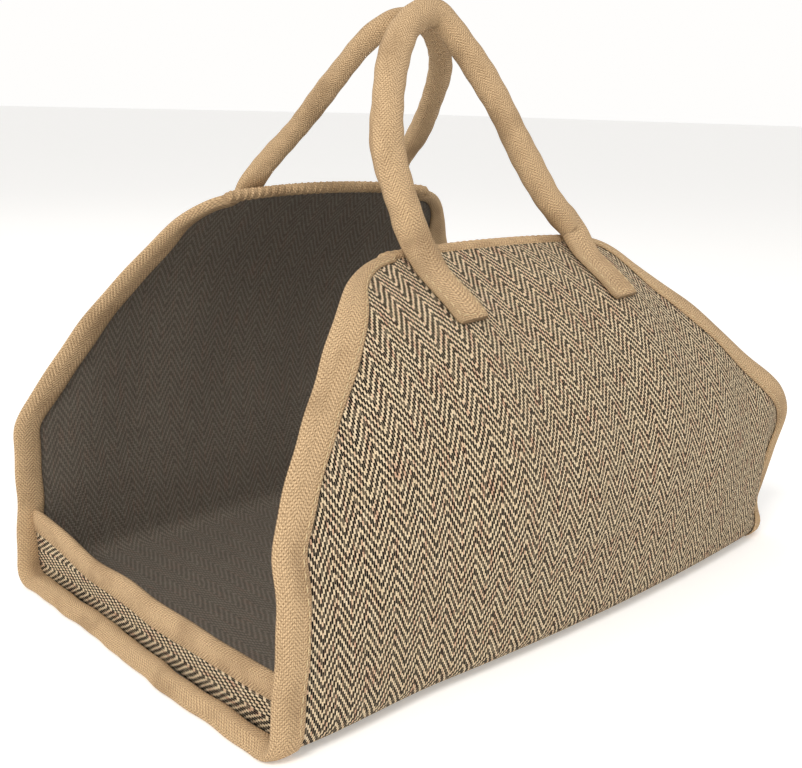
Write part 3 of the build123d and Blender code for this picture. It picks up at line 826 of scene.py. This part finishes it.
def stitch_rings(centres, directions, normals, length, radius):
    """Short thread loops that dive into the cloth at both ends: vertices, faces and cloth coordinates."""
    share = np.linspace(-1, 1, THREAD_RINGS)
    angle = np.linspace(0, tau, THREAD_POINTS + 1)[:-1]
    ring_length = length / (THREAD_RINGS - 1)
    vertices = []
    faces = []
    uvs = []
    for centre, direction, normal in zip(centres, directions, normals):
        across = np.cross(direction, normal)
        start = len(vertices)
        for t in share:
            middle = centre + direction * t * length / 2 + normal * radius * (0.9 - 1.5 * t * t)
            thin = radius * (1 - 0.35 * t * t)
            for w in angle:
                vertices.append(middle + across * thin * cos(w) + normal * thin * sin(w))
        for r in range(THREAD_RINGS - 1):
            near = start + r * THREAD_POINTS
            far = near + THREAD_POINTS
            for p in range(THREAD_POINTS):
                q = (p + 1) % THREAD_POINTS
                faces.append((near + p, near + q, far + q, far + p))
                corners = [(p, r), (p + 1, r), (p + 1, r + 1), (p, r + 1)]
                uvs += [(a / THREAD_POINTS * THREAD_ROUND, b * ring_length) for a, b in corners]
        last = start + (THREAD_RINGS - 1) * THREAD_POINTS
        faces.append(tuple(start + p for p in range(THREAD_POINTS)))
        faces.append(tuple(last + p for p in range(THREAD_POINTS)))
        uvs += [(0, 0)] * (2 * THREAD_POINTS)
    return vertices, faces, uvs


def stitches_on_sling(name, side, s, x, ds, dx, out, length, radius):
    """Stitches at places in the cloth, each pointing along (ds, dx) there."""
    centre = sling_point(side, s, x, out)
    ahead = sling_point(side, s + ds * 0.001, x + dx * 0.001, out)
    above = sling_point(side, s, x, out + 0.001)
    direction = ahead - centre
    direction /= np.linalg.norm(direction, axis=1)[:, None]
    normal = above - centre
    normal /= np.linalg.norm(normal, axis=1)[:, None]
    vertices, faces, uvs = stitch_rings(centre, direction, normal, length, radius)
    return face_outwards(make_object(name, vertices, faces, uvs, (THREAD,)))


def make_binding_stitches(side):
    """The rows of thread near the inner border of a side's two edge tapes."""
    name = SIDE_NAMES[side]
    rows = []
    for end in (-1, 1):
        s, x = inset_curve(side, end, TAPE_WIDTH - 0.0030, 400)
        lengths = np.concatenate([[0], np.cumsum(np.hypot(np.diff(s), np.diff(x)))])
        start = np.interp(PROFILES[side]["foot"] + 0.004, s, lengths)
        places = np.arange(start, lengths[-1] - 0.006, BINDING_PITCH)
        at_s = np.interp(places, lengths, s)
        at_x = np.interp(places, lengths, x) * end
        ds = np.interp(places + 0.001, lengths, s) - at_s
        dx = np.interp(places + 0.001, lengths, x) * end - at_x
        rows.append(np.stack([at_s, at_x, ds * 1000, dx * 1000]))
    out = CLOTH / 2 + SEAM_GAP + TAPE + 0.0004
    thread = stitches_on_sling(f"{name}_binding_stitches", side, *np.concatenate(rows, axis=1),
                               out, 0.0046, 0.00036)
    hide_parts(f"{name}_binding_stitching")
    bend_at_fold(thread)


def make_tab_stitches(side):
    """The box of thread round the border of each handle tab."""
    name = SIDE_NAMES[side]
    top = PROFILES[side]["top"]
    low = top - TAB_LOW + 0.004
    high = top - 0.024
    stitches = []
    for end in (-1, 1):
        for place in np.arange(low + 0.002, high, TAB_PITCH):
            middle = tab_middle(side, end, top - place)
            stitches += [(place, middle + across, 1, 0) for across in (-TAB_SEAM_HALF, TAB_SEAM_HALF)]
        for row in (low - 0.001, high + 0.001):
            middle = tab_middle(side, end, top - row)
            stitches += [(row, middle + place, 0, 1) for place in (-0.0072, 0.0, 0.0072)]
    out = CLOTH / 2 + TAB_HEIGHTS[0] + TAB_HALF_THICKNESS
    thread = stitches_on_sling(f"{name}_tab_stitches", side, *np.array(stitches, float).T,
                               out, 0.0044, 0.00040)
    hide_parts(f"{name}_tab_stitching")
    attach(thread, f"{name}_side")


for side in (FRONT, REAR):
    make_sling(side)
    for end in (-1, 1):
        make_edge_tape(side, end)
    make_top_binding(side)
    make_handle(side)
    make_binding_stitches(side)
    make_tab_stitches(side)
for end in (-1, 1):
    make_wall(end)


# Floor, light and camera

FLOOR_HALF = 40.0
FLOOR_Z = -0.0006
SKY_LIGHT = 0.72     # the sky's strength as a light, and as the camera sees it
SKY_SEEN = 1.0
SKY_COLOUR = (1.0, 0.99, 0.975, 1)
LAMP_COLOUR = (1.0, 0.975, 0.94)
LAMP_AIM = Vector((0, 0, 0.12))
# Name, place, power in watts and size
LAMPS = [("key", (-1.9, -0.9, 2.0), 46, 0.8), ("fill", (1.5, -1.8, 1.4), 4, 2.0),
         ("back", (0.4, 1.8, 2.0), 6, 1.6)]


def make_floor():
    """A pale floor just under the bag."""
    outline = [(-1, -1), (1, -1), (1, 1), (-1, 1)]
    corners = [(x * FLOOR_HALF, y * FLOOR_HALF, FLOOR_Z) for x, y in outline]
    uvs = [(x, y) for x, y, z in corners]
    ground = make_object("studio_floor", corners, [(0, 1, 2, 3)], uvs, (floor_finish(),))


def make_sky():
    """A white sky that the camera sees brighter than it lights."""
    world = bpy.data.worlds.new("studio")
    bpy.context.scene.world = world
    world.use_nodes = True
    sky = world.node_tree.nodes["Background"]
    sky.inputs[0].default_value = SKY_COLOUR
    seen = world.node_tree.nodes.new("ShaderNodeLightPath")
    strength = world.node_tree.nodes.new("ShaderNodeMapRange")
    strength.inputs[3].default_value = SKY_LIGHT
    strength.inputs[4].default_value = SKY_SEEN
    world.node_tree.links.new(seen.outputs["Is Camera Ray"], strength.inputs[0])
    world.node_tree.links.new(strength.outputs[0], sky.inputs[1])


def make_lamps():
    """Three soft lamps, all turned to the bag."""
    for name, place, energy, size in LAMPS:
        light = bpy.data.lights.new(name, "AREA")
        light.energy = energy
        light.size = size
        light.color = LAMP_COLOUR
        lamp = bpy.data.objects.new(name, light)
        lamp.location = place
        lamp.rotation_euler = (LAMP_AIM - Vector(place)).to_track_quat("-Z", "Y").to_euler()
        bpy.context.scene.collection.objects.link(lamp)


CAMERA_PLACE = (-0.590, -0.5836, 0.3367)
CAMERA_HEADING = 44.2
CAMERA_PITCH = 13.55
CAMERA_ROLL = 1.5
CAMERA_LENS = 51.64


def make_camera():
    """The camera at the photographer's place."""
    camera = bpy.data.objects.new("camera", bpy.data.cameras.new("camera"))
    camera.data.lens = CAMERA_LENS
    camera.data.sensor_width = 36.0
    camera.matrix_world = (Matrix.Translation(CAMERA_PLACE)
                           @ Matrix.Rotation(radians(-CAMERA_HEADING), 4, "Z")
                           @ Matrix.Rotation(radians(90 - CAMERA_PITCH), 4, "X")
                           @ Matrix.Rotation(radians(CAMERA_ROLL), 4, "Z"))
    bpy.context.scene.collection.objects.link(camera)
    bpy.context.scene.camera = camera


make_floor()
make_sky()
make_lamps()
make_camera()
bpy.context.scene.view_settings.view_transform = "Standard"
